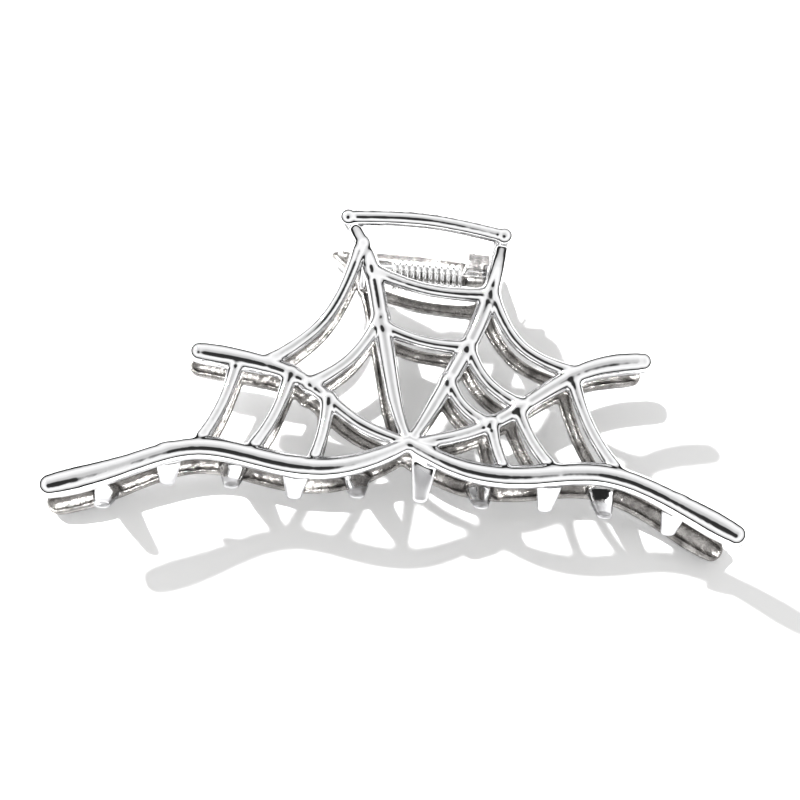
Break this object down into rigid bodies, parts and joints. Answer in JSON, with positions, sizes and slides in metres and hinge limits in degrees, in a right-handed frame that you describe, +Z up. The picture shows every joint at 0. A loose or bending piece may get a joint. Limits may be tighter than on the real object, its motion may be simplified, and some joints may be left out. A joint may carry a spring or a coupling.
{
  "type": "hair claw clip",
  "caption": "Large metal hair claw clip: two openwork jaws in the form of a spider's web, hinged on a pin and sprung closed, with interlocking teeth.",
  "frame": {"origin": "middle of the bounding box's bottom face: the surface that the clip lies on", "axes": "+X along the clip's width, +Y from the teeth towards the thumb bars, +Z up from the back jaw to the front jaw"},
  "size_m": [0.1196, 0.0552, 0.0288],
  "materials": {
    "plated_casting": "polished bright plating on a zinc alloy casting",
    "steel_pin": "plain drawn steel, riveted over",
    "spring_wire": "bright spring wire"
  },
  "bodies": {
    "back_jaw": {"back_hub": "plated_casting", "back_thumb_bar": "plated_casting", "back_left_upright": "plated_casting", "back_right_upright": "plated_casting", "back_left_spoke": "plated_casting", "back_right_spoke": "plated_casting", "back_left_arm": "plated_casting", "back_right_arm": "plated_casting", "back_left_upper_threads": "plated_casting", "back_left_lower_threads": "plated_casting", "back_middle_threads": "plated_casting", "back_right_upper_threads": "plated_casting", "back_right_lower_threads": "plated_casting", "back_teeth": "plated_casting", "back_left_ear": "plated_casting", "back_right_ear": "plated_casting", "hinge_pin": "steel_pin", "torsion_spring": "spring_wire"},
    "front_jaw": {"front_hub": "plated_casting", "front_thumb_bar": "plated_casting", "front_left_upright": "plated_casting", "front_right_upright": "plated_casting", "front_left_spoke": "plated_casting", "front_right_spoke": "plated_casting", "front_left_arm": "plated_casting", "front_right_arm": "plated_casting", "front_left_upper_threads": "plated_casting", "front_left_lower_threads": "plated_casting", "front_middle_threads": "plated_casting", "front_right_upper_threads": "plated_casting", "front_right_lower_threads": "plated_casting", "front_teeth": "plated_casting", "front_left_ear": "plated_casting", "front_right_ear": "plated_casting"}
  },
  "joints": [
    {"name": "jaw_hinge", "type": "hinge", "parent": "back_jaw", "child": "front_jaw", "pos_m": [0.00142, 0.01902, 0.01404], "axis": [-1, 0, 0], "range_deg": [0, 60], "stiffness_Nm_per_rad": 0.095, "springref_deg": -28.65, "deforming": ["torsion_spring"]}
  ]
}
